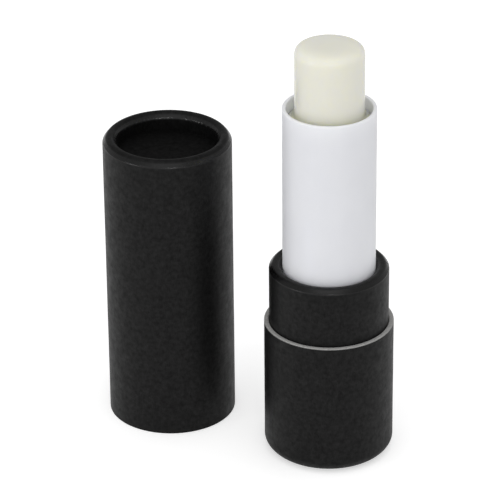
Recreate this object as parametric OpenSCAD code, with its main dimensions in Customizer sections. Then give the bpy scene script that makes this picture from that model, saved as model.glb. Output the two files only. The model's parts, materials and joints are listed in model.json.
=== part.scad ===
// Twist-up lip balm stick in a black paper tube, with its cap standing beside it.
// The stick stands at +X and the cap at -X, both on the plane Z = 0, mouth of the cap down.
// Turning the base turns a screw, and a nut keyed in the white tube lifts the balm.

/* [Outside] */
// Outside diameter of the cap and the base sleeve
outer_d = 20; // [18.6:0.2:22]
// Height of the cap, from its mouth to the crest of its rolled rim
cap_h = 47.5; // [42:0.5:60]
// Height of the base sleeve
sleeve_h = 22; // [16:0.5:26]
// Height of the neck's crest above the base sleeve
neck_rise = 9.6; // [5:0.2:12]
// Height of the white tube's rim above the neck's crest
tube_rise = 26.2; // [22:0.2:32]
// Height of the balm's tip above the white tube's rim, as it stands
balm_rise = 10.2; // [6:0.2:16]
// Gap between the cap and the base sleeve, standing side by side
stand_gap = 7.7; // [1:0.1:20]

/* [Paper and board] */
// Thickness of the board tubes
board_t = 0.56; // [0.4:0.02:0.7]
// Thickness of the black paper
wrap_t = 0.16; // [0.08:0.01:0.2]
// Width of the cap's rolled rim, outside to opening
cap_roll_w = 2.2; // [1.8:0.1:3]
// Height of the rounding of the cap's rolled rim
cap_roll_h = 1.3; // [1:0.1:2]
// Depth of the cap's disc below the crest of the rim
recess_depth = 2.8; // [2.2:0.1:5]
// Depth of the rebate in the cap's board that seats the disc and thins the board for rolling
rebate_t = 0.2; // [0.16:0.02:0.3]
// Thickness of the board discs
disc_t = 1; // [0.6:0.1:1.6]
// Width of the rounding at the base sleeve's foot
foot_round_w = 3; // [1.6:0.1:4]
// Height of the rounding at the base sleeve's foot
foot_round_h = 2.2; // [1.4:0.1:3]
// Width of the flat foot inside that rounding
foot_flat_w = 0.8; // [0.5:0.1:1.6]
// Height above the table at which the base's wrap is trimmed
foot_trim = 0.2; // [0.1:0.05:0.4]
// Distance that a wrap's cut edge stays back from the edge of its board
wrap_setback = 0.1; // [0.05:0.05:0.3]
// Depth of the neck's turned-in edge below its crest
neck_turn = 3; // [1.6:0.1:6]
// Distance that the neck's wrap goes down inside the base sleeve
neck_wrap_lap = 0.1; // [0.05:0.05:0.15]

/* [White tube] */
// Outside diameter of the white tube
tube_d = 14.26; // [13.6:0.02:14.6]
// Thickness of the white tube's wall
tube_wall = 0.6; // [0.45:0.05:0.7]
// Radius of the edges of the tube's rim
rim_round = 0.2; // [0.05:0.05:0.22]
// Height of the collar that fills the neck at the tube's lower end
collar_h = 4; // [2:0.5:8]
// Thickness of the snap lip at the tube's lower end
lip_t = 0.9; // [0.6:0.1:1.4]
// Number of ribs that keep the elevator from turning
rib_count = 4; // [2:1:6]
// Width of a rib
rib_w = 1; // [0.6:0.1:1.6]
// Height of a rib off the tube's bore
rib_t = 0.45; // [0.3:0.05:0.5]
// Distance from the tube's rim down to the ribs' upper ends
rib_drop = 15.3; // [14.6:0.1:18]

/* [Balm] */
// Diameter of the part of the balm that stands out of the tube
bullet_d = 10.6; // [9:0.1:11.4]
// Depth of the balm's shoulder below the tube's rim
shoulder_drop = 1.9; // [1:0.1:2.2]
// Radius of the hollow between the bullet and the shoulder
root_fillet = 0.9; // [0.3:0.1:1]
// Width of the rounding round the tip
tip_round_w = 1.2; // [0.5:0.1:3]
// Height of the rounding round the tip
tip_round_h = 2; // [0.8:0.1:3]

/* [Screw] */
// Rise for one turn
pitch = 3; // [2:0.5:4]
// Diameter over the thread
thread_d = 5; // [4:0.1:5.4]
// Depth of the thread
thread_depth = 0.8; // [0.4:0.1:1]
// Width of the thread's crest
crest_w = 0.6; // [0.3:0.1:0.8]
// Distance that the balm goes down from where it stands
travel_down = 12; // [10.5:0.5:12]
// Distance that the balm goes up from where it stands
travel_up = 18; // [10:0.5:18]
// Length of the nut
nut_h = 6; // [5:0.5:7]
// Diameter of the nut
nut_d = 7.6; // [6.6:0.1:8]
// Length of the elevator's skirt
skirt_h = 4; // [3:0.5:5]
// Thickness of the elevator's plate and of its skirt
plate_t = 0.8; // [0.6:0.1:1.2]
// Height of the barbed ring that holds the balm's foot
anchor_h = 3; // [2:0.5:5]
// Inner diameter of that ring
anchor_d = 7.2; // [6.4:0.1:7.8]
// Thickness of that ring
anchor_t = 0.7; // [0.5:0.1:1]
// Distance that the ring's barb stands out
barb = 0.3; // [0.1:0.05:0.5]
// Height of the wheel, from the disc below it to its upper face
wheel_h = 3.4; // [2.6:0.1:5]
// Thickness of the wheel's plate and of its skirt
wheel_t = 1.2; // [0.8:0.1:1.6]
// Diameter of the groove that holds the tube's snap lip
groove_d = 9.5; // [8:0.1:10]
// Distance that the snap head stands over the groove
snap_bite = 0.7; // [0.3:0.05:0.9]
// Height of the snap head
snap_h = 0.9; // [0.6:0.1:1.4]
// Chamfer on the snap head and on the spindle's end
lead_in = 0.4; // [0.1:0.1:0.5]

/* [Clearances] */
// Gap between pieces that are glued
glue_gap = 0.02; // [0.01:0.005:0.05]
// Radial gap of the neck in the base sleeve and in the cap
neck_gap = 0.06; // [0.05:0.01:0.1]
// Radial gap of the elevator and the balm in the white tube
slide_gap = 0.15; // [0.1:0.01:0.2]
// Gap on each side of the snap lip, and below the elevator at its lowest
run_gap = 0.15; // [0.1:0.01:0.3]
// Radial gap over the thread in the nut
thread_gap = 0.08; // [0.05:0.01:0.1]
// Radial gap over the thread in the balm, and above the spindle's end
cast_gap = 0.2; // [0.1:0.05:0.4]

/* [Hidden] */
$fn = 96;
arc_n = 12;
// Length by which a cutting shape passes the faces that it cuts through
cut_past = 1;
paper = "#232323";
grey_board = "#8e8c87";
white_plastic = "#e8e9ec";
balm_colour = "#dedfd0";

// Radii, from the outside inwards
outer_r = outer_d / 2;
wall_t = wrap_t + board_t;
bore_r = outer_r - wall_t;
cap_disc_r = bore_r + rebate_t - glue_gap;
neck_r = bore_r - neck_gap;
neck_bore_r = neck_r - wall_t;
tube_r = tube_d / 2;
tube_bore_r = tube_r - tube_wall;
neck_roll_w = neck_r - tube_r - glue_gap;
neck_roll_h = neck_roll_w / 2;
balm_r = tube_bore_r - slide_gap;
bullet_r = bullet_d / 2;
rib_r = tube_bore_r - rib_t;
notch_r = rib_r - slide_gap;
notch_w = rib_w + 2 * slide_gap;
thread_r = thread_d / 2;
core_r = thread_r - thread_depth;
groove_r = groove_d / 2;
foot_r = outer_r - foot_round_w;

// Heights of the stick, from the table up
foot_centre_z = foot_round_h - wrap_t;
foot_disc_z = board_t + glue_gap;
wheel_z = foot_disc_z + wrap_t + disc_t + glue_gap;
wheel_top_z = wheel_z + wheel_h;
barrel_z = wheel_top_z + run_gap;
lip_top_z = barrel_z + lip_t;
snap_z = lip_top_z + run_gap;
snap_top_z = snap_z + snap_h;
nut_z = snap_top_z + run_gap + travel_down;
plate_top_z = nut_z + nut_h;
neck_top_z = sleeve_h + neck_rise;
rim_z = neck_top_z + tube_rise;
rib_top_z = rim_z - rib_drop;
shoulder_z = rim_z - shoulder_drop;
tip_z = rim_z + balm_rise;
balm_z = plate_top_z + glue_gap;
spindle_top_z = plate_top_z + travel_up + lead_in;
cast_top_z = spindle_top_z + travel_down + cast_gap;

// Heights of the cap
recess_z = cap_h - recess_depth;
cap_disc_z = recess_z - wrap_t - disc_t;

stick_x = (outer_d + stand_gap) / 2;

// Points of an elliptical arc about a centre, from angle a0 to angle a1
function arc(centre, rx, ry, a0, a1) =
    [for (i = [0 : arc_n]) let (a = a0 + (a1 - a0) * i / arc_n) [centre.x + rx * cos(a), centre.y + ry * sin(a)]];

function reversed(line) = [for (i = [len(line) - 1 : -1 : 0]) line[i]];

// Line at depth d in a wall that rises from z_open, rolls inwards at its crest and ends at z_leg
function rolled_line(r, crest, roll_w, roll_h, z_open, z_leg, d) =
    concat([[r - d, z_open]],
           arc([r - roll_w / 2, crest - roll_h], roll_w / 2 - d, roll_h - d, 0, 180),
           [[r - roll_w + d, z_leg]]);

function cap_line(z_open, d) = rolled_line(outer_r, cap_h, cap_roll_w, cap_roll_h, z_open, recess_z, d);

function neck_line(z_open, d) =
    rolled_line(neck_r, neck_top_z, neck_roll_w, neck_roll_h, z_open, neck_top_z - neck_turn, d);

// Line at depth d in the base sleeve, down to an angle of its rounded foot
function foot_line(angle, d) =
    concat([[outer_r - d, sleeve_h]],
           arc([foot_r, foot_centre_z], foot_round_w - d, foot_round_h - d, 0, -angle));

// A turned layer between two lines
module layer(outer_line, inner_line) {
    rotate_extrude() polygon(concat(outer_line, reversed(inner_line)));
}

module disc(r, z, t) {
    translate([0, 0, z]) cylinder(r = r, h = t);
}

module at_stick() {
    translate([stick_x, 0, 0]) children();
}

module at_cap() {
    translate([-stick_x, 0, 0]) children();
}

// Section of the barbed ring on the elevator, grown by g on every side for its pocket in the balm
module anchor_section(g) {
    r_in = anchor_d / 2 - g;
    r_out = anchor_d / 2 + anchor_t + g;
    top = plate_top_z + anchor_h + g;
    polygon([[r_in, plate_top_z - plate_t / 2],
             [r_out, plate_top_z - plate_t / 2],
             [r_out, top - 3 * barb],
             [r_out + barb, top - 2 * barb],
             [r_out + barb, top - barb],
             [r_out, top],
             [r_in, top]]);
}

// Bars where the tube's ribs are, from radius r outwards by reach
module along_ribs(r, w, z0, z1, reach) {
    for (i = [0 : rib_count - 1])
        rotate([0, 0, i * 360 / rib_count])
            translate([r, -w / 2, z0]) cube([reach, w, z1 - z0]);
}

// Black paper of the cap, over the rolled rim and down to the disc
module cap_wrap() {
    color(paper) at_cap() layer(cap_line(wrap_setback, 0), cap_line(wrap_setback, wrap_t));
}

// Board tube of the cap, thinned from the disc upwards
module cap_board() {
    color(grey_board) at_cap()
        layer(cap_line(0, wrap_t),
              concat([[bore_r, 0], [bore_r, cap_disc_z]], cap_line(cap_disc_z, wall_t - rebate_t)));
}

module cap_disc_facing() {
    color(paper) at_cap() disc(cap_disc_r, recess_z - wrap_t, wrap_t);
}

module cap_disc() {
    color(grey_board) at_cap() disc(cap_disc_r, cap_disc_z, disc_t);
}

// Black paper of the base, trimmed just above the table so that the board bears on it
module sleeve_wrap() {
    trim_angle = asin((foot_centre_z - foot_trim) / foot_round_h);
    color(paper) at_stick() layer(foot_line(trim_angle, 0), foot_line(trim_angle, wrap_t));
}

// Board tube of the base, its lower edge drawn in under the disc
module sleeve_board() {
    flat_r = foot_r - foot_flat_w;
    color(grey_board) at_stick()
        layer(concat(foot_line(90, wrap_t), [[flat_r, 0]]), concat(foot_line(90, wall_t), [[flat_r, board_t]]));
}

module base_disc_facing() {
    color(paper) at_stick() disc(foot_r, foot_disc_z, wrap_t);
}

module base_disc() {
    color(grey_board) at_stick() disc(foot_r, foot_disc_z + wrap_t, disc_t);
}

// Wheel with a skirt and a snap head, glued into the base sleeve, and the spindle that stands on it
module drive_screw() {
    skirt_r = bore_r - glue_gap;
    first_z = snap_top_z + pitch / 2;
    turns = floor((spindle_top_z - lead_in - thread_depth - first_z) / pitch);
    ridges = [for (i = [0 : turns]) let (z = first_z + i * pitch)
              each [[core_r, z - crest_w / 2 - thread_depth / 2],
                    [thread_r, z - crest_w / 2],
                    [thread_r, z + crest_w / 2],
                    [core_r, z + crest_w / 2 + thread_depth / 2]]];
    color(white_plastic) at_stick() rotate_extrude()
        polygon(concat([[0, wheel_z],
                        [groove_r, wheel_z],
                        [groove_r, wheel_top_z - wheel_t],
                        [skirt_r - wheel_t, wheel_top_z - wheel_t],
                        [skirt_r - wheel_t, foot_centre_z],
                        [skirt_r, foot_centre_z],
                        [skirt_r, wheel_top_z],
                        [groove_r, wheel_top_z],
                        [groove_r, snap_z],
                        [groove_r + snap_bite, snap_z],
                        [groove_r + snap_bite, snap_top_z - lead_in],
                        [groove_r + snap_bite - lead_in, snap_top_z],
                        [core_r, snap_top_z]],
                       ridges,
                       [[core_r, spindle_top_z - lead_in],
                        [core_r - lead_in, spindle_top_z],
                        [0, spindle_top_z]]));
}

// Black paper of the neck, over its rolled edge
module neck_wrap() {
    z_open = sleeve_h - neck_wrap_lap;
    color(paper) at_stick() layer(neck_line(z_open, 0), neck_line(z_open, wrap_t));
}

// Board tube of the neck, from the wheel up, with its upper edge rolled in against the white tube
module neck_board() {
    color(grey_board) at_stick() layer(neck_line(barrel_z, wrap_t), neck_line(barrel_z, wall_t));
}

// White tube with its collar, snap lip and guide ribs
module inner_tube() {
    collar_r = neck_bore_r - glue_gap;
    lip_r = groove_r + run_gap;
    color(white_plastic) at_stick() union() {
        rotate_extrude()
            polygon(concat([[lip_r, barrel_z],
                            [collar_r, barrel_z],
                            [collar_r, barrel_z + collar_h],
                            [tube_r, barrel_z + collar_h]],
                           arc([tube_r - rim_round, rim_z - rim_round], rim_round, rim_round, 0, 90),
                           arc([tube_bore_r + rim_round, rim_z - rim_round], rim_round, rim_round, 90, 180),
                           [[tube_bore_r, lip_top_z],
                            [lip_r, lip_top_z]]));
        along_ribs(rib_r, rib_w, lip_top_z - lip_t / 2, rib_top_z, rib_t + tube_wall / 2);
    }
}

// Nut, plate and skirt in one moulding, notched round the ribs
module elevator() {
    skirt_bottom_z = plate_top_z - skirt_h;
    color(white_plastic) at_stick() difference() {
        union() {
            disc(balm_r, plate_top_z - plate_t, plate_t);
            disc(nut_d / 2, nut_z, nut_h);
            difference() {
                disc(balm_r, skirt_bottom_z, skirt_h);
                disc(balm_r - plate_t, skirt_bottom_z - cut_past, skirt_h + cut_past - plate_t);
            }
            rotate_extrude() anchor_section(0);
        }
        disc(thread_r + thread_gap, nut_z - cut_past, nut_h + 2 * cut_past);
        along_ribs(notch_r, notch_w, skirt_bottom_z - cut_past, plate_top_z + cut_past, balm_r);
    }
}

// Balm, cast round the spindle, the ribs and the barbed ring
module balm() {
    cast_r = thread_r + cast_gap;
    color(balm_colour) at_stick() difference() {
        rotate_extrude()
            polygon(concat([[cast_r, balm_z],
                            [balm_r, balm_z],
                            [balm_r, shoulder_z],
                            [bullet_r + root_fillet, shoulder_z]],
                           arc([bullet_r + root_fillet, shoulder_z + root_fillet], root_fillet, root_fillet, 270, 180),
                           arc([bullet_r - tip_round_w, tip_z - tip_round_h], tip_round_w, tip_round_h, 0, 90),
                           [[0, tip_z],
                            [0, cast_top_z],
                            [cast_r, cast_top_z]]));
        rotate_extrude() anchor_section(glue_gap);
        along_ribs(notch_r, notch_w, balm_z - cut_past, rib_top_z + travel_down + cast_gap, balm_r);
    }
}

cap_wrap();
cap_board();
cap_disc_facing();
cap_disc();
sleeve_wrap();
sleeve_board();
base_disc_facing();
base_disc();
drive_screw();
neck_wrap();
neck_board();
inner_tube();
elevator();
balm();
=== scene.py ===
"""Looks of a twist-up lip balm stick in a black paper tube, with its cap standing beside it.

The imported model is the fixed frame. Each visible piece is a finer surface worked out with numpy, which
stands for its CAD node, and the few nodes that keep their own mesh get a finish. Sizes are in
millimetres, and meshes are in metres, with Z up from the table, the stick at +X and the cap at -X.
"""

import json  # noqa: E402
import logging  # noqa: E402
import math  # noqa: E402
from dataclasses import dataclass  # noqa: E402
from enum import Enum  # noqa: E402
from typing import Any, Callable, Optional  # noqa: E402

import bpy  # noqa: E402
import numpy as np  # noqa: E402
from mathutils import Matrix  # noqa: E402

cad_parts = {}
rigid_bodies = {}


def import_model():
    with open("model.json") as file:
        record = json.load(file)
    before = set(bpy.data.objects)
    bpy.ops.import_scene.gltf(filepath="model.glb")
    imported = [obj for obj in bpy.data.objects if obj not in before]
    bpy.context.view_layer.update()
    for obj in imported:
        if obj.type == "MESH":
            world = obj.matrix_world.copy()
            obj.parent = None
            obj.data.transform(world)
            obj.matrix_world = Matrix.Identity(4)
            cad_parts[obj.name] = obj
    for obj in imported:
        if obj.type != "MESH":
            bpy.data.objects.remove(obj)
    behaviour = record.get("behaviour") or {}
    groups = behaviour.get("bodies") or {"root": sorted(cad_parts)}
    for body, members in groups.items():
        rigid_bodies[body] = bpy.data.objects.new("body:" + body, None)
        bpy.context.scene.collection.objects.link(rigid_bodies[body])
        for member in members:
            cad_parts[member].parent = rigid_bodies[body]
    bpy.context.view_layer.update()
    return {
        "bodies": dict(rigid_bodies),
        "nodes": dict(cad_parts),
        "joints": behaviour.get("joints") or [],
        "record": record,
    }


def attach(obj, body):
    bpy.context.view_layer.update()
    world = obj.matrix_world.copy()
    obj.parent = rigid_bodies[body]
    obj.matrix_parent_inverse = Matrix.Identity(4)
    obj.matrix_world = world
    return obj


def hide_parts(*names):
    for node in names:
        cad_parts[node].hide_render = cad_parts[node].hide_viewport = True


LOG = logging.getLogger("lip_balm")
MM = 0.001
FULL_TURN = 2 * math.pi
NEAR = 0.01  # distance at which a point still counts as lying on a wall
SHARP = 38.0  # degrees between two faces from which their edge shows as an edge
LAP_DEPTH = 0.05  # depth of the furrow beside a paper's lapped edge
LAP_REACH = 0.12  # half the width of that furrow
NOISE_SPAN = (0.3, 0.7)  # a noise takes nearly all its values between these
WHITE = (1.0, 1.0, 1.0, 1.0)

Array = np.ndarray
Material = bpy.types.Material
Outline = list[tuple[float, float, float]]
Section = tuple[Array, Array, int]
Shift = Callable[[Array, Array, Array], Array]
Socket = bpy.types.NodeSocket


class Stand(Enum):
    """Where an upright axis meets the table, along X."""

    STICK = 13.85
    CAP = -13.85


class Body(Enum):
    """The CAD bodies that pieces ride on."""

    BARREL = "barrel"
    BASE = "base"
    CARRIER = "carrier"
    CAP = "cap"


class Slot(Enum):
    """The record's material slots."""

    PAPER = "black_paper"
    BOARD = "grey_board"
    PLASTIC = "white_plastic"
    BALM = "balm_wax"


class Grain(Enum):
    """How a piece's UV map, in millimetres, lies on it."""

    AROUND = "around the axis, and along the section"
    FLAT = "straight down on a disc"


class Hand(Enum):
    """The hand of a thread: which way its crest climbs, seen from above."""

    RIGHT = 1
    LEFT = -1


# ---------------------------------------------------------------- shapes


@dataclass(frozen=True)
class Surface:
    """A closed surface, in millimetres.

    Attributes:
        points: Its points, one a row.
        quads: Point numbers of its four-sided faces.
        fans: Point numbers of the triangles round its poles.
        uv: The UV map's points, one for each corner of the quads and then of the fans.
        strips: The section's side that each face comes from.
    """

    points: Array
    quads: Array
    fans: Array
    uv: Array
    strips: Array


def filleted(corners: Outline, closed: bool = True, steps: int = 8) -> Array:
    """Rounds the corners of an outline.

    The arc at a corner touches both sides at the radius divided by the tangent of half the corner's angle.
    Its points are the centre plus the two end spokes, weighted by the sines of the angles left to each.

    Args:
        corners: Radius from the axis, height and rounding of each corner, anticlockwise.
        closed: Whether the last corner joins the first.
        steps: Sides of each arc.

    Returns:
        The rounded outline, one point a row.
    """
    table = np.array(corners, float)
    spots, rounding = table[:, :2], table[:, 2].copy()
    if not closed:
        rounding[[0, -1]] = 0
    back, on = np.roll(spots, 1, 0) - spots, np.roll(spots, -1, 0) - spots
    back /= np.linalg.norm(back, axis=1, keepdims=True)
    on /= np.linalg.norm(on, axis=1, keepdims=True)
    half = np.arccos(np.clip((back * on).sum(1), -1, 1)) / 2
    middle = back + on
    middle /= np.maximum(np.linalg.norm(middle, axis=1, keepdims=True), 1e-9)
    to_centre = middle * (rounding / np.sin(half))[:, None]
    first = back * (rounding / np.tan(half))[:, None] - to_centre
    last = on * (rounding / np.tan(half))[:, None] - to_centre
    turn = (math.pi - 2 * half)[:, None, None]
    share = np.linspace(0, 1, steps + 1)[None, :, None]
    spokes = np.sin((1 - share) * turn) * first[:, None] + np.sin(share * turn) * last[:, None]
    arcs = (spots + to_centre)[:, None] + spokes / np.maximum(np.sin(turn), 1e-9)
    line = arcs.reshape(-1, 2)
    return line[np.r_[True, np.linalg.norm(np.diff(line, axis=0), axis=1) > 1e-6]]


def ellipse(centre: tuple[float, float], reach: tuple[float, float], start: float, end: float,
            steps: int) -> Array:
    """Points of an elliptical arc: the centre plus the reach times the cosine and sine of the angle.

    Args:
        centre: Radius from the axis and height of the centre.
        reach: The two half axes.
        start: First angle, in degrees.
        end: Last angle, in degrees.
        steps: Sides of the arc.

    Returns:
        The arc, one point a row.
    """
    angle = np.radians(np.linspace(start, end, steps + 1))
    return np.stack([centre[0] + reach[0] * np.cos(angle), centre[1] + reach[1] * np.sin(angle)], 1)


def stations(line: Array) -> Array:
    """Length along a line at each of its points."""
    return np.r_[0, np.cumsum(np.linalg.norm(np.diff(line, axis=0), axis=1))]


def evened(line: Array, step: float) -> Array:
    """Divides the long sides of an open line, so that a relief on them has points to show.

    New points stand at equal lengths along the line, and its own points stay.

    Args:
        line: The line, one point a row.
        step: Length between new points.

    Returns:
        The divided line.
    """
    station = stations(line)
    fresh = np.arange(step, station[-1], step)
    clear = np.abs(fresh[:, None] - station[None]).min(1) > step / 4
    places = np.sort(np.r_[station, fresh[clear]])
    return np.stack([np.interp(places, station, line[:, k]) for k in (0, 1)], 1)


def deepened(corners: Outline, depth: float) -> Outline:
    """Moves an open outline to its left, into the wall, so that it lies at a depth below itself.

    A corner moves along the middle of its two sides by the depth divided by the sine of half its angle, and
    its rounding keeps its centre. An end moves along its side's normal.

    Args:
        corners: Radius from the axis, height and rounding of each corner.
        depth: Distance to move the sides.

    Returns:
        The moved corners.
    """
    table = np.array(corners, float)
    along = np.diff(table[:, :2], axis=0)
    along /= np.linalg.norm(along, axis=1, keepdims=True)
    left = np.stack([-along[:, 1], along[:, 0]], 1)
    before, after = np.vstack([left[:1], left]), np.vstack([left, left[-1:]])
    middle = before + after
    middle *= 2 / (middle * middle).sum(1, keepdims=True)
    bend = np.sign(before[:, 0] * after[:, 1] - before[:, 1] * after[:, 0])
    rounding = np.where(table[:, 2] > 0, np.maximum(table[:, 2] - bend * depth, NEAR), 0)
    moved = table[:, :2] + depth * middle
    return [tuple(row) for row in np.column_stack([moved, rounding]).tolist()]


def between(outer: Array, inner: Array) -> Section:
    """Section of a thin layer.

    Args:
        outer: Line of its outer face, one point a row.
        inner: Line of its inner face, the same way round.

    Returns:
        The section, its two sides that are cut edges, and the number of points on its outer face.
    """
    section = np.vstack([outer, inner[::-1]])
    return section, np.array([len(outer) - 1, len(section) - 1]), len(outer)


def skin(corners: Outline, depth: float, step: float) -> Section:
    """Section of the outermost layer of a wall.

    Args:
        corners: The wall's outer outline.
        depth: Thickness of the layer.
        step: Length between points on its long sides.

    Returns:
        What `between` gives.
    """
    outer, inner = [evened(filleted(edge, closed=False, steps=10), step)
                    for edge in (corners, deepened(corners, depth))]
    return between(outer, inner)


def turned(section: Array, stand: Stand, columns: int = 360, start: float = 0.0,
           shift: Optional[Shift] = None, face: Optional[int] = None,
           grain: Grain = Grain.AROUND) -> Surface:
    """Carries a section once round an upright axis.

    A point at angle a of a section's point (r, z) is (axis + r cos a, r sin a, z), with r first moved by the
    shift. A section that starts and ends on the axis gets one point at each pole.

    Args:
        section: Radius and height of each point, anticlockwise, either closed or from axis to axis.
        stand: The axis.
        columns: Sides of a circle.
        start: Angle at which the UV map begins, in degrees.
        shift: Gives the change in radius at each angle, radius and height.
        face: How many of the section's points the shift moves, from the first, where it isn't all.
        grain: How the UV map lies.

    Returns:
        The surface.
    """
    solid = section[0, 0] < 1e-9 and section[-1, 0] < 1e-9
    rings = section[1:-1] if solid else section
    turn = math.radians(start) + FULL_TURN * np.arange(columns + 1) / columns
    angle, radius = np.meshgrid(turn[:-1], rings[:, 0])
    height = np.repeat(rings[:, 1:2], columns, 1)
    if shift is not None:
        radius[:face] += shift(angle, radius, height)[:face]
    grid = np.stack([stand.value + radius * np.cos(angle), radius * np.sin(angle), height], -1)
    number = np.arange(radius.size).reshape(radius.shape)
    beyond = number[1:] if solid else np.roll(number, -1, 0)
    here = number[:-1] if solid else number
    quads = np.stack([here, np.roll(here, -1, 1), np.roll(beyond, -1, 1), beyond], -1)
    station = stations(np.vstack([section, section[:1]]))
    first = 1 if solid else 0
    low, high = station[first:first + len(quads)], station[first + 1:first + 1 + len(quads)]
    u = np.stack([turn[:-1], turn[1:], turn[1:], turn[:-1]], -1) * rings[:, 0].max()
    v = np.stack([low, low, high, high], -1)
    uv = np.stack(np.broadcast_arrays(u[None], v[:, None]), -1)
    strips = np.repeat(np.arange(len(quads)) + first, columns)
    points, fans, fan_uv = grid.reshape(-1, 3), np.zeros((0, 3), int), np.zeros((0, 3, 2))
    if solid:
        foot, top = np.full(columns, len(points)), np.full(columns, len(points) + 1)
        points = np.vstack([points, [[stand.value, 0, section[k, 1]] for k in (0, -1)]])
        fans = np.vstack([np.stack([foot, np.roll(number[0], -1), number[0]], 1),
                          np.stack([number[-1], np.roll(number[-1], -1), top], 1)])
        fan_uv = points[fans][..., :2]
        strips = np.r_[strips, np.zeros(columns, int), np.full(columns, len(section) - 2)]
    quads = quads.reshape(-1, 4)
    quad_uv = points[quads][..., :2] if grain is Grain.FLAT else uv
    return Surface(points, quads, fans, np.vstack([quad_uv.reshape(-1, 2), fan_uv.reshape(-1, 2)]), strips)


def rise(value: Array, low: float, high: float) -> Array:
    """Goes smoothly from 0 at low to 1 at high, three squares less two cubes of the share of the way."""
    share = np.clip((value - low) / (high - low), 0, 1)
    return share * share * (3 - 2 * share)


def lies_on(radius: Array, wall: float) -> Array:
    """Whether each point lies on the cylinder of that radius."""
    return np.abs(radius - wall) < NEAR


def swell(angle: Array, height: Array, size: float, seed: int, length: float = 14.0) -> Array:
    """Low swells that a hand-sized moulding or a rolled tube has.

    The sum of six sines round and along the surface, each with its own whole count round the axis, its own
    length along it and its own phase.

    Args:
        angle: Angle of each point.
        height: Height of each point.
        size: Height of the swells.
        seed: Which swells.
        length: Usual length of a swell along the axis.

    Returns:
        The change in radius, never above zero.
    """
    rng = np.random.default_rng(seed)
    count = np.array([1, 2, 3, 4, 5, 7])
    along = rng.uniform(0.6, 1.8, 6) * FULL_TURN / length * rng.choice([-1, 1], 6)
    phase = rng.uniform(0, FULL_TURN, 6)
    waves = np.sin(angle[..., None] * count + height[..., None] * along + phase) / np.sqrt(count)
    return size * (waves.mean(-1) - 1) / 2


def lap(angle: Array, radius: Array, seam: float) -> Array:
    """The fine furrow beside the lapped edge of a tube's paper, where the glue has drawn it in.

    Its depth falls off as a bell curve of the arc from the seam, which is the radius times the angle to it.

    Args:
        angle: Angle of each point.
        radius: Radius of each point.
        seam: Angle of the seam, in degrees.

    Returns:
        The change in radius of each point.
    """
    off = radius * (np.mod(angle - math.radians(seam) + math.pi, FULL_TURN) - math.pi)
    return -LAP_DEPTH * np.exp(-(off / LAP_REACH) ** 2)


# ---------------------------------------------------------------- finishes


def linear(colour: str) -> tuple[float, float, float, float]:
    """Turns an sRGB hex colour into the linear one that a socket takes."""
    parts = [int(colour[k:k + 2], 16) / 255 for k in (1, 3, 5)]
    red, green, blue = [c / 12.92 if c <= 0.04045 else ((c + 0.055) / 1.055) ** 2.4 for c in parts]
    return red, green, blue, 1.0


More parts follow.
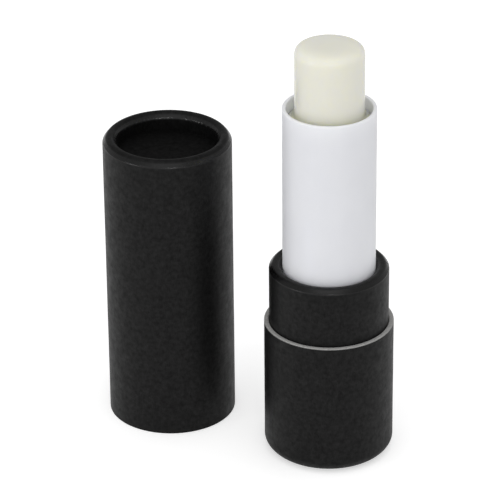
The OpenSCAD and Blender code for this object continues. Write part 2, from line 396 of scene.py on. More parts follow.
class Graph:
    """A node tree as it is put together."""

    def __init__(self, tree: bpy.types.NodeTree) -> None:
        """Starts with an empty tree."""
        self.tree = tree
        tree.nodes.clear()

    def add(self, kind: str, inputs: Optional[dict[Any, Any]] = None, **settings: Any) -> bpy.types.Node:
        """Adds a node with its settings and links.

        Args:
            kind: Blender's name for the kind of node.
            inputs: Value, or output to link, for each input by name or number.
            settings: The node's own properties.

        Returns:
            The node.
        """
        node = self.tree.nodes.new(kind)
        for name, value in settings.items():
            setattr(node, name, value)
        for name, value in (inputs or {}).items():
            if isinstance(value, Socket):
                self.tree.links.new(value, node.inputs[name])
            else:
                node.inputs[name].default_value = value
        return node

    def place(self, kind: str = "Object") -> Socket:
        """Gives the place on the object, in its own coordinates or another kind."""
        return self.add("ShaderNodeTexCoord").outputs[kind]

    def math(self, operation: str, *values: Any, **settings: Any) -> Socket:
        """Adds a step of arithmetic on numbers and outputs."""
        return self.add("ShaderNodeMath", dict(enumerate(values)), operation=operation, **settings).outputs[0]

    def noise(self, size: float, detail: float = 2.0, roughness: float = 0.5) -> Socket:
        """Adds noise that is fixed to the object.

        Args:
            size: Size of its patches, in millimetres.
            detail: How many times finer noise lies on it.
            roughness: How strong each finer noise is beside the one before.

        Returns:
            Its value.
        """
        inputs = {"Vector": self.place(), "Scale": 1 / (size * MM), "Detail": detail, "Roughness": roughness}
        return self.add("ShaderNodeTexNoise", inputs).outputs[0]

    def ramp(self, value: Socket, span: tuple[float, float], to: tuple[float, float] = (0.0, 1.0),
             shape: str = "LINEAR") -> Socket:
        """Adds a ramp, which is level beyond its ends.

        Args:
            value: What runs up the ramp.
            span: The value at each end.
            to: The height of each end.
            shape: Blender's name for how it goes between them.

        Returns:
            The height.
        """
        inputs = {"Value": value, "From Min": span[0], "From Max": span[1], "To Min": to[0], "To Max": to[1]}
        return self.add("ShaderNodeMapRange", inputs, interpolation_type=shape).outputs[0]

    def blend(self, share: Socket, one: Any, other: Any) -> Socket:
        """Adds a blend of two outputs or numbers, or of two sRGB hex colours."""
        if isinstance(one, str):
            colours = {0: share, 6: linear(one), 7: linear(other)}
            return self.add("ShaderNodeMix", colours, data_type="RGBA").outputs[2]
        return self.add("ShaderNodeMix", {0: share, 2: one, 3: other}).outputs[0]

    def bump(self, relief: Socket, strength: float, depth: float) -> Socket:
        """Adds a fine relief, with its depth in millimetres."""
        inputs = {"Height": relief, "Strength": strength, "Distance": depth * MM}
        return self.add("ShaderNodeBump", inputs).outputs[0]

    def end(self, inputs: dict[str, Any]) -> None:
        """Ends a material with the common shader, from its inputs by name."""
        shader = self.add("ShaderNodeBsdfPrincipled", inputs)
        self.add("ShaderNodeOutputMaterial", {"Surface": shader.outputs[0]})

    def seen(self, camera: float, gloss: float, light: float) -> Socket:
        """Adds a strength that depends on what looks at it.

        Args:
            camera: The strength to the camera.
            gloss: The strength in gloss.
            light: The strength as light.

        Returns:
            The strength.
        """
        path = self.add("ShaderNodeLightPath")
        value = self.math("MULTIPLY_ADD", path.outputs["Is Glossy Ray"], gloss - light, light)
        return self.math("MULTIPLY_ADD", path.outputs["Is Camera Ray"], camera - light, value)


def blank(name: str) -> tuple[Material, Graph]:
    """Makes a material with an empty node tree."""
    material = bpy.data.materials.new(name)
    material.use_nodes = True
    return material, Graph(material.node_tree)


@dataclass(frozen=True)
class BlackPaper:
    """Black dyed wrapping paper, uncoated and calendered.

    Gives the eye a soft matte black with a cloudy mottle, short fibres that catch the light a little, and a
    grey lift where it is seen at a slant.
    """

    name: str = "black_dyed_paper"
    ground: str = "#080808"
    fibre: str = "#131313"
    roughness: tuple[float, float] = (0.42, 0.56)
    specular: tuple[float, float] = (0.15, 0.28)
    patch: float = 0.7
    mottle: float = 1.5
    felt: float = 0.28
    fibre_width: float = 0.09
    fibre_length: float = 0.9
    slants: tuple[float, float] = (0.35, -0.9)
    depth: float = 0.012
    fold: Optional[float] = None
    fold_reach: float = 0.5
    rubbed: float = 0.24
    rubbed_specular: float = 0.5

    def build(self) -> Material:
        """Makes the material."""
        material, graph = blank(self.name)
        cloud = graph.noise(self.mottle, 4.0, 0.6)
        # Real fibres are 0.02 mm wide; they are drawn about four times as wide, to show at all.
        strands, size = [], (1 / self.fibre_width, 1 / self.fibre_length, 1.0)
        for slant in self.slants:
            laid = graph.add("ShaderNodeMapping", {"Vector": graph.place("UV"), "Scale": size,
                                                   "Rotation": (0.0, 0.0, slant)}).outputs[0]
            inputs = {"Vector": laid, "Scale": 1.0, "Detail": 1.0, "Distortion": 0.35}
            strand = graph.add("ShaderNodeTexNoise", inputs, noise_dimensions="2D").outputs[0]
            strands.append(graph.ramp(strand, (0.55, 0.72)))
        fibres = graph.math("MAXIMUM", *strands)
        share = graph.math("MULTIPLY_ADD", cloud, fibres, 0.12)
        share = graph.math("MULTIPLY_ADD", fibres, 0.35, share)
        colour = graph.blend(graph.ramp(share, (0.35, 1.1)), self.ground, self.fibre)
        rough = graph.ramp(cloud, NOISE_SPAN, self.roughness[::-1])
        gloss = graph.ramp(graph.noise(self.patch, 3.0, 0.55), NOISE_SPAN, self.specular)
        if self.fold is not None:
            # The fold at the upper edge is rubbed smoother by the tool that curls it.
            height = graph.add("ShaderNodeSeparateXYZ", {0: graph.place()}).outputs["Z"]
            off = graph.math("ABSOLUTE", graph.math("SUBTRACT", height, self.fold * MM))
            reach = self.fold_reach * MM
            worn = graph.ramp(off, (reach, 0.3 * reach), shape="SMOOTHSTEP")
            rough = graph.blend(worn, rough, self.rubbed)
            gloss = graph.blend(worn, gloss, self.rubbed_specular)
        relief = graph.math("MULTIPLY_ADD", fibres, 0.45, graph.noise(self.felt))
        graph.end({"Base Color": colour, "Roughness": rough, "IOR": 1.45, "Specular IOR Level": gloss,
                   "Normal": graph.bump(relief, 0.5, self.depth)})
        return material


@dataclass(frozen=True)
class TubeBoard:
    """Grey board wound from recycled paper plies and cut on a lathe.

    Gives the eye a dull grey with darker and lighter flecks, and on a cut edge the fine rings of its plies.
    """

    name: str = "wound_grey_board"
    ground: str = "#8b8b8a"
    fleck: str = "#b4b3b1"
    ply: float = 0.14
    fleck_size: float = 0.3
    roughness: tuple[float, float] = (0.78, 0.92)

    def build(self, stand: Stand) -> Material:
        """Makes the material.

        Args:
            stand: The axis that the plies are wound round.

        Returns:
            The material.
        """
        material, graph = blank(f"{self.name}_{stand.name.lower()}")
        centred = graph.add("ShaderNodeMapping", {"Vector": graph.place(),
                                                  "Location": (-stand.value * MM, 0.0, 0.0)}).outputs[0]
        level = graph.add("ShaderNodeVectorMath", {0: centred, 1: (1.0, 1.0, 0.0)}, operation="MULTIPLY")
        radius = graph.add("ShaderNodeVectorMath", {0: level.outputs[0]}, operation="LENGTH").outputs["Value"]
        crumb = graph.noise(self.fleck_size, 5.0, 0.7)
        wander = graph.math("MULTIPLY", crumb, 1.6)
        plies = graph.math("SINE", graph.math("MULTIPLY_ADD", radius, FULL_TURN / (self.ply * MM), wander))
        share = graph.math("MULTIPLY_ADD", plies, 0.14, crumb)
        colour = graph.blend(graph.ramp(share, (0.3, 0.75)), self.ground, self.fleck)
        rough = graph.ramp(crumb, (0.0, 1.0), self.roughness)
        graph.end({"Base Color": colour, "Roughness": rough, "IOR": 1.45, "Specular IOR Level": 0.3,
                   "Normal": graph.bump(share, 0.6, 0.03)})
        return material


@dataclass(frozen=True)
class Polypropylene:
    """White polypropylene, injection moulded in a finely blasted mould.

    Gives the eye a clean, faintly blue white with a satin gloss, the least bit of depth, and a gloss that
    wavers where the wall has shrunk.
    """

    name: str = "moulded_polypropylene"
    ground: str = "#eaebf0"
    shade: str = "#e5e6ec"
    roughness: tuple[float, float] = (0.34, 0.44)
    blast: float = 0.22
    shrink: float = 6.0
    depth: float = 0.006

    def build(self) -> Material:
        """Makes the material."""
        material, graph = blank(self.name)
        flow = graph.noise(self.shrink)
        relief = graph.math("MULTIPLY_ADD", flow, 4.0, graph.noise(self.blast))
        graph.end({"Base Color": graph.blend(flow, self.ground, self.shade),
                   "Roughness": graph.ramp(flow, NOISE_SPAN, self.roughness), "IOR": 1.49,
                   "Subsurface Weight": 0.8, "Subsurface Radius": (1.0, 1.0, 1.0),
                   "Subsurface Scale": 1.0 * MM, "Normal": graph.bump(relief, 0.4, self.depth)})
        return material


@dataclass(frozen=True)
class BalmWax:
    """Balm poured from wax and oils, set in the tube and wiped clean.

    Gives the eye a pale, faintly green-yellow white that light goes a few millimetres into, a soft oily
    gloss, and a painted shade of deeper yellow at the foot, which stands for the light that comes through
    more of it.
    """

    name: str = "poured_balm"
    ground: str = "#e5e4da"
    # The foot colour is a painted shade: a deeper yellow that stands for light coming through more of the
    # wax.
    foot: str = "#e2e2ca"
    roughness: tuple[float, float] = (0.17, 0.26)
    painted_shade_top: float = 58.5
    painted_shade_bottom: float = 55.2
    haze: float = 2.4
    bloom: float = 0.5
    depth: float = 0.006

    def build(self) -> Material:
        """Makes the material."""
        material, graph = blank(self.name)
        height = graph.add("ShaderNodeSeparateXYZ", {0: graph.place()}).outputs["Z"]
        # Painted shade: the colour turns to the deeper yellow towards the foot.
        low = graph.ramp(height, (self.painted_shade_top * MM, self.painted_shade_bottom * MM), shape="SMOOTHSTEP")
        haze = graph.noise(self.haze, 3.0)
        cloudy = graph.ramp(haze, (0.0, 1.0), (-0.08, 0.12))
        share = graph.math("ADD", low, cloudy, use_clamp=True)
        relief = graph.math("MULTIPLY_ADD", haze, 3.0, graph.noise(self.bloom, 3.0))
        graph.end({"Base Color": graph.blend(share, self.ground, self.foot),
                   "Roughness": graph.ramp(haze, NOISE_SPAN, self.roughness), "IOR": 1.44,
                   "Subsurface Weight": 1.0, "Subsurface Radius": (1.0, 0.95, 0.6),
                   "Subsurface Scale": 2.2 * MM, "Normal": graph.bump(relief, 0.2, self.depth)})
        return material


@dataclass(frozen=True)
class Finishes:
    """Every material of the object, made once."""

    paper: Material
    cap_paper: Material
    neck_paper: Material
    card: Material
    stick_board: Material
    cap_board: Material
    plastic: Material
    balm: Material

    @classmethod
    def build(cls) -> "Finishes":
        """Makes them."""
        board = TubeBoard()
        papers = (BlackPaper(), BlackPaper("black_dyed_paper_of_cap", fold=46.8),
                  BlackPaper("black_dyed_paper_of_neck", fold=31.2),
                  BlackPaper("black_uncalendered_card", roughness=(0.6, 0.75), specular=(0.05, 0.13)))
        return cls(*[paper.build() for paper in papers], board.build(Stand.STICK), board.build(Stand.CAP),
                   Polypropylene().build(), BalmWax().build())


# ---------------------------------------------------------------- assemblies


@dataclass
class Assembly:
    """What the sub-assemblies share: the frame, the finishes, and how a piece is put in place."""

    frame: dict[str, Any]
    finishes: Finishes

    def relief(self, angle: Array, radius: Array, height: Array) -> Array:
        """Relief of a turned piece. Each sub-assembly has its own.

        Args:
            angle: Angle of each point round the axis.
            radius: Its distance from the axis.
            height: Its height.

        Returns:
            The change in radius of each point.
        """
        raise NotImplementedError

    def place(self, name: str, surface: Surface, body: Body, slot: Slot, materials: list[Material],
              stands_for: str, edges: Optional[Array] = None) -> None:
        """Makes a mesh of a surface and lets it ride on its body in place of a CAD node.

        Args:
            name: The piece's name.
            surface: Its surface.
            body: The CAD body that it rides on.
            slot: The record's slot for the piece's finish; not used.
            materials: Its finish, and the finish of its cut edges where that differs.
            stands_for: The CAD node that it replaces.
            edges: The section's sides that are cut edges.
        """
        mesh = bpy.data.meshes.new(name)
        mesh.from_pydata((surface.points * MM).tolist(), [], surface.quads.tolist() + surface.fans.tolist())
        mesh.uv_layers.new(name="grain").data.foreach_set("uv", surface.uv.astype(np.float32).ravel())
        for material in materials:
            mesh.materials.append(material)
        if edges is not None:
            mesh.polygons.foreach_set("material_index", np.isin(surface.strips, edges).astype(np.int32))
        mesh.shade_smooth()
        mesh.set_sharp_from_angle(angle=math.radians(SHARP))
        mesh.update()
        piece = bpy.data.objects.new(name, mesh)
        bpy.context.scene.collection.objects.link(piece)
        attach(piece, body.value)
        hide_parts(stands_for)
        LOG.info("%s: %d points, rides on %s", name, len(surface.points), body.value)

    def dress(self, node: str, material: Material) -> None:
        """Gives a CAD node that stays a better finish."""
        for held in self.frame["nodes"][node].material_slots:
            held.material = material
        LOG.info("%s: keeps its own mesh, with %s", node, material.name)


@dataclass
class PaperTube(Assembly):
    """What the paper-covered board tubes share: the thickness of their layers, and the paper's seam.

    Attributes:
        wrap: Thickness of the paper.
        board: Thickness of the board.
        setback: How far the paper ends short of the board's cut edge.
        seam: Angle of the paper's lapped edge, in degrees.
    """

    wrap: float = 0.16
    board: float = 0.56
    setback: float = 0.1
    seam: float = 90.0


@dataclass
class Cap(PaperTube):
    """The cap: a board tube in black paper, its upper edge curled in over a disc."""

    outer_r: float = 10.0
    rebate: float = 0.2
    crest: float = 47.5
    opening_r: float = 7.8
    recess: float = 44.7
    disc: float = 1.0
    gap: float = 0.02
    crease: float = 46.55
    pleats: int = 74
    pleat_depth: float = 0.07

    def rim(self, foot: float) -> Outline:
        """Outline of the paper's face, from the mouth over the creased and curled rim to the disc.

        Args:
            foot: Height at which the outline starts.

        Returns:
            Its corners.
        """
        return [(self.outer_r, foot, 0.0),
                (self.outer_r, self.crease, 0.6),
                (self.outer_r - 0.8, self.crest, 0.8),
                (self.opening_r + 0.64, self.crest, 0.74),
                (self.opening_r, self.crest - 0.91, 1.0),
                (self.opening_r, self.recess, 0.0)]

    def relief(self, angle: Array, radius: Array, height: Array) -> Array:
        """Low swells, the seam, and pleats where the paper is drawn in at the curl.

        A pleat is the square of a sine whose count round the rim wanders, and grows from the crest inwards.
        """
        wander = 1.7 * np.sin(3 * angle + 0.4) + 1.1 * np.sin(7 * angle + 2.0) + 0.8 * np.sin(13 * angle)
        pleat = np.sin(self.pleats * angle / 2 + wander) ** 2
        patchy = 0.55 + 0.45 * np.sin(4 * angle + 1.0) * np.sin(9 * angle)
        drawn = rise(radius, self.outer_r - 1.2, self.opening_r)
        fade = rise(height, self.crest - 2.6, self.crest - 1.2)
        low = swell(angle, height, 0.035, 11) * rise(height, self.crest, self.crest - 2.0)
        return low + lap(angle, radius, self.seam) - self.pleat_depth * drawn * fade * pleat * patchy

    def build(self) -> None:
        """Makes the paper, the board tube and the disc's facing, and dresses the disc."""
        paper, board = self.finishes.cap_paper, self.finishes.cap_board
        section, cut, face = skin(self.rim(self.setback), self.wrap, 1.4)
        self.place("cap_paper", turned(section, Stand.CAP, 600, self.seam, self.relief, face), Body.CAP,
                   Slot.PAPER, [paper, board], "cap_wrap", cut)
        disc_z = self.recess - self.wrap - self.disc
        bore_r = self.outer_r - self.wrap - self.board
        outer = filleted(deepened(self.rim(0.0), self.wrap), closed=False)
        inner = filleted(deepened(self.rim(disc_z), self.wrap + self.board - self.rebate), closed=False)
        tube = np.vstack([outer, inner[::-1], [[bore_r, disc_z], [bore_r, 0.0]]])
        self.place("cap_tube", turned(tube, Stand.CAP), Body.CAP, Slot.BOARD, [board], "cap_board")
        reach, under = bore_r + self.rebate - self.gap, self.recess - self.wrap
        disc = filleted([(0.0, under, 0.0), (reach, under, 0.02), (reach, self.recess, 0.03),
                         (0.0, self.recess, 0.0)], closed=False, steps=3)
        self.place("cap_top_facing", turned(evened(disc, 0.8), Stand.CAP, 180, grain=Grain.FLAT), Body.CAP,
                   Slot.PAPER, [self.finishes.card], "cap_disc_facing")
        self.dress("cap_disc", board)


@dataclass
class Base(PaperTube):
    """The base: a board sleeve in black paper, drawn in at the foot over a disc."""

    outer_r: float = 10.0
    top: float = 22.0
    foot_r: float = 7.0
    foot_centre: float = 2.04
    foot_rise: float = 2.2
    flat: float = 0.8
    trim: float = 0.2
    seam: float = 100.0

    def side(self, angle: float, depth: float) -> Array:
        """Line in the sleeve's wall, round its foot.

        Args:
            angle: Angle of the foot's rounding at which the line starts, in degrees below level.
            depth: Depth of the line below the paper's face.

        Returns:
            The line.
        """
        reach = (self.outer_r - self.foot_r - depth, self.foot_rise - depth)
        return ellipse((self.foot_r, self.foot_centre), reach, -angle, 0.0, 24)

    def relief(self, angle: Array, radius: Array, height: Array) -> Array:
        """Low swells and the seam, least at the foot."""
        return (swell(angle, height, 0.03, 23) + lap(angle, radius, self.seam)) * rise(height, 0.5, 5.0)

    def build(self) -> None:
        """Makes the sleeve's paper and board, and dresses the foot's disc and facing."""
        paper, board = self.finishes.paper, self.finishes.stick_board
        trim = math.degrees(math.asin((self.foot_centre - self.trim) / self.foot_rise))
        edge = self.top - self.setback
        outer, inner = [evened(np.vstack([self.side(trim, depth), [[self.outer_r - depth, edge]]]), 0.8)
                        for depth in (0.0, self.wrap)]
        section, cut, face = between(outer, inner)
        self.place("sleeve_paper", turned(section, Stand.STICK, 540, self.seam, self.relief, face), Body.BASE,
                   Slot.PAPER, [paper, board], "sleeve_wrap", cut)
        wall, flat_r = self.wrap + self.board, self.foot_r - self.flat
        outer = np.vstack([[[flat_r, 0.0]], self.side(90.0, self.wrap)])
        inner = np.vstack([[[flat_r, self.board]], self.side(90.0, wall)])
        face_r, bore_r, below = self.outer_r - self.wrap, self.outer_r - wall, self.top - 2
        top = filleted([(face_r, below, 0.0), (face_r, self.top, 0.05), (bore_r, self.top, 0.05),
                        (bore_r, below, 0.0)], closed=False, steps=4)
        self.place("sleeve_tube", turned(np.vstack([outer, top, inner[::-1]]), Stand.STICK), Body.BASE,
                   Slot.BOARD, [board], "sleeve_board")
        self.dress("base_disc", board)
        self.dress("base_disc_facing", self.finishes.card)


@dataclass
class Neck(PaperTube):
    """The neck: a board tube in black paper, its upper edge curled in against the white tube."""

    outer_r: float = 9.22
    foot: float = 21.9
    crest: float = 31.6
    inner_r: float = 7.15
    leg: float = 28.6
    crease: float = 30.95
    seam: float = 29.0
    pleats: int = 66
    pleat_depth: float = 0.02

    def rim(self) -> Outline:
        """Outline of the neck's paper, over its creased and curled edge."""
        return [(self.outer_r, self.foot, 0.0),
                (self.outer_r, self.crease, 0.4),
                (self.outer_r - 0.62, self.crest, 0.7),
                (self.inner_r, self.crest, 1.0),
                (self.inner_r, self.leg, 0.0)]

    def relief(self, angle: Array, radius: Array, height: Array) -> Array:
        """Low swells and the seam on the wall, and fine pleats on the curl."""
        wander = 1.3 * np.sin(4 * angle + 1.9) + 0.9 * np.sin(9 * angle)
        curled = rise(radius, self.outer_r - 0.4, self.outer_r - 1.2)
        clear = rise(radius, self.inner_r + 0.2, self.inner_r + 0.8)
        pleat = self.pleat_depth * curled * clear * np.sin(self.pleats * angle / 2 + wander) ** 2
        low = swell(angle, height, 0.03, 31) * rise(height, self.crest, self.crest - 1.5)
        return (low + lap(angle, radius, self.seam) - pleat) * clear

    def build(self) -> None:
        """Makes the neck's paper and dresses its board."""
        paper, board = self.finishes.neck_paper, self.finishes.stick_board
        section, cut, face = skin(self.rim(), self.wrap, 0.6)
        self.place("neck_paper", turned(section, Stand.STICK, 720, self.seam, self.relief, face), Body.BARREL,
                   Slot.PAPER, [paper, board], "neck_wrap", cut)
        self.dress("neck_board", board)


@dataclass(frozen=True)
class Ribs:
    """The guide ribs in the white tube, and the notches that run on them."""

    count: int = 4
    width: float = 1.0
    top: float = 42.5
    slope: float = 0.15
    notch_w: float = 1.3
    notch_r: float = 5.93

    def mask(self, angle: Array, radius: Array, width: float) -> Array:
        """How far each point stands on a rib: 1 on it, 0 off it, and a steep smooth step at its sides.

        The distance from a rib's middle is the radius times the sine of the angle to it.

        Args:
            angle: Angle of each point.
            radius: Radius of each point.
            width: Width of the rib or notch.

        Returns:
            The share, for each point.
        """
        off = np.abs(radius * np.sin(self.count * angle / 2) * 2 / self.count)
        return rise(off, width / 2 + 0.05, width / 2 - 0.05)


@dataclass
class WhiteTube(Assembly):
    """The white tube, with its rounded rim, ribs, collar and snap lip."""

    outer_r: float = 7.13
    bore_r: float = 6.53
    rim: float = 57.8
    foot: float = 5.31
    collar_r: float = 8.48
    collar: float = 4.0
    lip_r: float = 4.9
    lip: float = 0.9
    rib_height: float = 0.45
    ribs: Ribs = Ribs()

    def relief(self, angle: Array, radius: Array, height: Array) -> Array:
        """Ribs on the bore, from the lip to their sloping upper ends, and slight swells outside."""
        top = rise(height, self.ribs.top, self.ribs.top - self.ribs.slope)
        above_lip = height > self.foot + self.lip - NEAR
        rib = self.ribs.mask(angle, radius, self.ribs.width) * top * lies_on(radius, self.bore_r) * above_lip
        low = swell(angle, height, 0.02, 41, 20.0) * lies_on(radius, self.outer_r) * rise(height, 10.0, 12.0)
        return low - self.rib_height * rib

    def build(self) -> None:
        """Makes the tube."""
        shelf, ledge = self.foot + self.collar, self.foot + self.lip
        section = filleted([(self.lip_r, self.foot, 0.1), (self.collar_r, self.foot, 0.15),
                            (self.collar_r, shelf, 0.2), (self.outer_r, shelf, 0.1),
                            (self.outer_r, self.rim, 0.2), (self.bore_r, self.rim, 0.2),
                            (self.bore_r, self.ribs.top, 0.0),
                            (self.bore_r, self.ribs.top - self.ribs.slope, 0.0),
                            (self.bore_r, ledge, 0.0), (self.lip_r, ledge, 0.1)], steps=6)
        closed = evened(np.vstack([section, section[:1]]), 1.0)[:-1]
        self.place("white_tube", turned(closed, Stand.STICK, 480, shift=self.relief), Body.BARREL,
                   Slot.PLASTIC, [self.finishes.plastic], "inner_tube")


@dataclass(frozen=True)
class Thread:
    """The screw's thread, and the nut's that runs in it."""

    hand: Hand = Hand.RIGHT
    pitch: float = 3.0
    core_r: float = 1.7
    crest_r: float = 2.5
    crest_w: float = 0.6
    flank_w: float = 0.4
    start: float = 8.76

    def ridge(self, angle: Array, height: Array, offset: float, crest_w: float,
              flank_w: float) -> Array:
        """How far each point stands on the ridge: 1 on its crest, 0 beside it, and straight flanks between.

        The distance along the axis from the ridge's middle is the height less the pitch times the turns
        made, taken to the nearest ridge.

        Args:
            angle: Angle of each point.
            height: Height of each point.
            offset: Height of the ridge's middle above the screw's.
            crest_w: Width of the crest.
            flank_w: Width of a flank, along the axis.

        Returns:
            The share, for each point.
        """
        climb = self.hand.value * self.pitch * angle / FULL_TURN
        off = height - self.start - offset - climb
        off = np.abs(off - self.pitch * np.round(off / self.pitch))
        return 1 - np.clip((off - crest_w / 2) / flank_w, 0, 1)


@dataclass
class Screw(Assembly):
    """The screw: the wheel in the base sleeve, the groove that the white tube snaps in, and the spindle."""

    thread: Thread = Thread()
    wheel_foot: float = 1.76
    wheel_rim: float = 2.04
    wheel_top: float = 5.16
    wheel_r: float = 9.26
    wheel_t: float = 1.2
    groove_r: float = 4.75
    snap_r: float = 5.45
    snap: tuple[float, float] = (6.36, 7.26)
    spindle_top: float = 43.81
    chamfer: float = 0.4

    def relief(self, angle: Array, radius: Array, height: Array) -> Array:
        """The thread's ridge on the spindle, which runs in and out at its ends."""
        thread = self.thread
        ends = (rise(height, self.snap[1] + 0.2, self.snap[1] + 1.4)
                * rise(height, self.spindle_top - 0.5, self.spindle_top - 1.6))
        ridge = thread.ridge(angle, height, 0.0, thread.crest_w, thread.flank_w)
        return (thread.crest_r - thread.core_r) * ridge * ends * lies_on(radius, thread.core_r)

    def build(self) -> None:
        """Makes the screw."""
        foot, top, reach, cut = self.wheel_foot, self.wheel_top, self.wheel_r, self.chamfer
        low, high, peak, core = self.snap[0], self.snap[1], self.spindle_top, self.thread.core_r
        hub, web = reach - self.wheel_t, top - self.wheel_t
        wheel = filleted([(0.0, foot, 0.0), (self.groove_r, foot, 0.1), (self.groove_r, web, 0.2),
                          (hub, web, 0.2), (hub, self.wheel_rim, 0.05), (reach, self.wheel_rim, 0.1),
                          (reach, top, 0.15), (self.groove_r, top, 0.1), (self.groove_r, low, 0.05),
                          (self.snap_r, low, 0.1), (self.snap_r, high - cut, 0.1),
                          (self.snap_r - cut, high, 0.1), (core, high, 0.1), (core, peak - cut, 0.1),
                          (core - cut, peak, 0.1), (0.0, peak, 0.0)], closed=False, steps=4)
        self.place("screw", turned(evened(wheel, 0.12), Stand.STICK, 144, shift=self.relief), Body.BASE,
                   Slot.PLASTIC, [self.finishes.plastic], "drive_screw")


@dataclass(frozen=True)
class Anchor:
    """The lipped ring on the elevator's plate, which the balm is cast round."""

    inner_r: float = 3.6
    outer_r: float = 4.3
    lip: float = 0.3
    height: float = 3.0

    def outline(self, foot: float, gap: float = 0.0, rounding: float = 0.0) -> Outline:
        """Its outline, from the foot outside, over the lip, to the foot inside.

        Args:
            foot: Height at which it starts.
            gap: Distance beside the ring at which it runs.
            rounding: Rounding of its upper corners.

        Returns:
            The corners.
        """
        outer, inner, top = self.outer_r + gap, self.inner_r - gap, foot + self.height
        return [(outer, foot, 0.0), (outer, top - 3 * self.lip, 0.0),
                (outer + self.lip, top - 2 * self.lip, rounding),
                (outer + self.lip, top - self.lip, rounding),
                (outer, top, rounding), (inner, top, rounding), (inner, foot, 0.0)]


@dataclass
class Elevator(Assembly):
    """The elevator: the nut on the spindle, with the skirted plate that carries the balm."""

    thread: Thread = Thread()
    ribs: Ribs = Ribs()
    anchor: Anchor = Anchor()
    nut_foot: float = 19.41
    plate_top: float = 25.41
    plate: float = 0.8
    nut_r: float = 3.8
    nut_bore_r: float = 2.58
    nut_ridge_r: float = 1.9
    nut_crest_w: float = 0.9
    nut_flank_w: float = 0.3
    skirt_r: float = 6.38
    skirt: float = 4.0

    def relief(self, angle: Array, radius: Array, height: Array) -> Array:
        """The nut's ridge in its bore, and the notches round the ribs."""
        ends = rise(height, self.nut_foot, self.nut_foot + 0.8) * rise(height, self.plate_top,
                                                                       self.plate_top - 0.8)
        ridge = self.thread.ridge(angle, height, self.thread.pitch / 2, self.nut_crest_w, self.nut_flank_w)
        ridge = ridge * ends * lies_on(radius, self.nut_bore_r)
        depth = radius - self.ribs.notch_r
        notch = self.ribs.mask(angle, radius, self.ribs.notch_w) * (depth > NEAR)
        return -(self.nut_bore_r - self.nut_ridge_r) * ridge - depth * notch

    def build(self) -> None:
        """Makes the elevator."""
        top, under, hem = self.plate_top, self.plate_top - self.plate, self.plate_top - self.skirt
        inner = self.skirt_r - self.plate
        outline = filleted([(self.nut_bore_r, self.nut_foot, 0.0), (self.nut_r, self.nut_foot, 0.2),
                            (self.nut_r, under, 0.2), (inner, under, 0.2), (inner, hem, 0.1),
                            (self.skirt_r, hem, 0.1), (self.skirt_r, top, 0.1),
                            *self.anchor.outline(top, rounding=0.05), (self.nut_bore_r, top, 0.0)], steps=4)
        closed = evened(np.vstack([outline, outline[:1]]), 0.15)[:-1]
        self.place("lift", turned(closed, Stand.STICK, 288, shift=self.relief), Body.CARRIER, Slot.PLASTIC,
                   [self.finishes.plastic], "elevator")


@dataclass
class Balm(Assembly):
    """The stick of balm, cast round the spindle, with a round-tipped bullet on a wider foot.

    Its tip is a superellipse: flatter in the middle and fuller at the edge than an ellipse.
    """

    ribs: Ribs = Ribs()
    anchor: Anchor = Anchor()
    gap: float = 0.02
    foot: float = 25.43
    cast_r: float = 2.7
    cast_top: float = 56.01
    body_r: float = 6.38
    shoulder: float = 55.9
    bullet_r: float = 5.3
    root: float = 0.9
    tip: float = 68.0
    dome: float = 2.4
    squareness: float = 4.3
    notch_top: float = 54.7

    def relief(self, angle: Array, radius: Array, height: Array) -> Array:
        """Notches where it was cast round the ribs, and swells on the bullet."""
        notch = self.ribs.mask(angle, radius, self.ribs.notch_w) * lies_on(radius, self.body_r)
        cut = notch * rise(height, self.notch_top, self.notch_top - 0.2)
        bullet = rise(height, self.shoulder + self.root, self.shoulder + 3.0) * rise(radius, 1.0, 4.0)
        return swell(angle, height, 0.05, 53, 9.0) * bullet - (self.body_r - self.ribs.notch_r) * cut

    def build(self) -> None:
        """Makes the balm."""
        root_r = self.bullet_r + self.root
        cast = filleted([(self.cast_r, self.foot, 0.0), *self.anchor.outline(self.foot, self.gap)[::-1],
                         (self.body_r, self.foot, 0.0), (self.body_r, self.shoulder, 0.12),
                         (root_r, self.shoulder, 0.0)], closed=False, steps=4)
        root = ellipse((root_r, self.shoulder + self.root), (self.root, self.root), 270, 180, 12)
        turn, power = np.linspace(0.0, math.pi / 2, 48)[:-1], 2 / self.squareness
        tip = np.stack([self.bullet_r * np.cos(turn) ** power,
                        self.tip - self.dome + self.dome * np.sin(turn) ** power], 1)
        outside = evened(np.vstack([cast, root[1:], tip, [[0.0, self.tip]]]), 0.5)
        # The hollow starts on the axis and opens at the foot, so the section runs from axis to axis.
        section = np.vstack([[[0.0, self.cast_top], [self.cast_r, self.cast_top]], outside])
        self.place("balm_stick", turned(section, Stand.STICK, 480, shift=self.relief), Body.CARRIER,
                   Slot.BALM, [self.finishes.balm], "balm")


# ---------------------------------------------------------------- studio


@dataclass(frozen=True)
class Lamp:
    """A soft box that faces the object.

    Attributes:
        name: Its name.
        azimuth: Its direction, in degrees to the camera's right of the line back to the camera.
        elevation: Its direction above the table, in degrees.
        distance: Its distance, in metres.
        size: Its width and height, in metres.
        power: Its power, in watts.
    """

    name: str
    azimuth: float
    elevation: float
    distance: float
    size: tuple[float, float]
    power: float


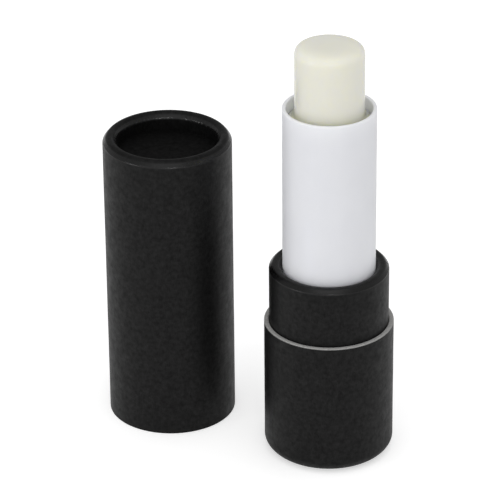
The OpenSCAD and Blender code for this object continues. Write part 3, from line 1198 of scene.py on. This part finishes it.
@dataclass
class Studio:
    """The camera, the pale floor and the plain soft light."""

    aim_azimuth: float = 27.23
    pitch: float = 27.45
    roll: float = -0.54
    camera_at: tuple[float, float, float] = (207.1, -401.85, 265.49)
    lens: float = 237.6
    sensor: float = 36.0
    floor_reach: float = 1.5
    floor_colour: str = "#e6e6e6"
    floor_lift: float = 0.47
    floor_gloss: float = 0.28
    centre: tuple[float, float, float] = (0.0, 0.0, 0.03)
    sky: float = 0.72
    sky_gloss: float = 0.43
    lamps: tuple[Lamp, ...] = (
        Lamp("front", -10.0, 27.0, 0.9, (1.4, 0.8), 1.2),
        Lamp("key_left", -62.0, 12.0, 0.8, (0.1, 0.1), 0.62),
        Lamp("key_right", 8.0, 22.0, 0.8, (0.08, 0.08), 0.55),
        Lamp("top", 0.0, 75.0, 0.8, (0.6, 0.6), 0.7),
    )

    def place_camera(self) -> None:
        """Puts the camera where the photograph's perspective was fitted."""
        data = bpy.data.cameras.new("camera")
        data.sensor_width, data.lens = self.sensor, self.lens
        data.clip_start, data.clip_end = 0.01, 20.0
        camera = bpy.data.objects.new("camera", data)
        camera.location = [x * MM for x in self.camera_at]
        turns = ((self.aim_azimuth, "Z"), (90 - self.pitch, "X"), (self.roll, "Z"))
        about, tilt, level = [Matrix.Rotation(math.radians(angle), 3, axis) for angle, axis in turns]
        camera.rotation_euler = (about @ tilt @ level).to_euler()
        bpy.context.scene.collection.objects.link(camera)
        bpy.context.scene.camera = camera

    def lay_floor(self) -> None:
        """Lays a matte white table top that keeps the object's shadow.

        To the camera, its own light makes up what its colour takes away, so that it meets the white sky.
        """
        reach = self.floor_reach
        mesh = bpy.data.meshes.new("floor")
        mesh.from_pydata([(-reach, -reach, 0), (reach, -reach, 0), (reach, reach, 0), (-reach, reach, 0)],
                         [], [(0, 1, 2, 3)])
        material, graph = blank("white_table_top")
        matte = graph.add("ShaderNodeBsdfDiffuse", {"Color": linear(self.floor_colour),
                                                    "Normal": graph.bump(graph.noise(3.0), 0.1, 0.02)})
        strength = graph.seen(self.floor_lift, self.floor_gloss, 0.0)
        lift = graph.add("ShaderNodeEmission", {"Strength": strength})
        both = graph.add("ShaderNodeAddShader", {0: matte.outputs[0], 1: lift.outputs[0]})
        graph.add("ShaderNodeOutputMaterial", {"Surface": both.outputs[0]})
        mesh.materials.append(material)
        floor = bpy.data.objects.new("floor", mesh)
        bpy.context.scene.collection.objects.link(floor)

    def light(self) -> None:
        """Makes the white sky and hangs the soft boxes round the object."""
        world = bpy.data.worlds.new("studio")
        world.use_nodes = True
        graph = Graph(world.node_tree)
        strength = graph.seen(1.0, self.sky_gloss, self.sky)
        sky = graph.add("ShaderNodeBackground", {"Color": WHITE, "Strength": strength})
        graph.add("ShaderNodeOutputWorld", {"Surface": sky.outputs[0]})
        bpy.context.scene.world = world
        for lamp in self.lamps:
            self.hang(lamp)

    def hang(self, lamp: Lamp) -> None:
        """Hangs one soft box, facing the object."""
        data = bpy.data.lights.new(lamp.name, "AREA")
        data.shape, data.size, data.size_y, data.energy = "RECTANGLE", lamp.size[0], lamp.size[1], lamp.power
        holder = bpy.data.objects.new(lamp.name, data)
        turn, lift = math.radians(self.aim_azimuth + lamp.azimuth), math.radians(lamp.elevation)
        out = np.array([math.sin(turn) * math.cos(lift), -math.cos(turn) * math.cos(lift), math.sin(lift)])
        holder.location = np.array(self.centre) + lamp.distance * out
        holder.rotation_euler = (math.pi / 2 - lift, 0.0, turn)
        holder.visible_camera = False
        bpy.context.scene.collection.objects.link(holder)

    def build(self) -> None:
        """Makes the studio."""
        self.place_camera()
        self.lay_floor()
        self.light()
        bpy.context.scene.view_settings.view_transform = "Standard"


def corners(box: tuple[Any, Any]) -> list[list[float]]:
    """A box's lowest and highest corner as plain lists."""
    return [[float(x) for x in corner] for corner in box]


def main() -> None:
    """Builds the object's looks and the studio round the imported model."""
    logging.basicConfig(level=logging.INFO, format="%(name)s: %(message)s")
    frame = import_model()
    finishes = Finishes.build()
    for assembly in (Cap, Base, Neck, WhiteTube, Screw, Elevator, Balm):
        LOG.info("building: %s", assembly.__name__)
        assembly(frame, finishes).build()
    Studio().build()


if __name__ == "__main__":
    main()
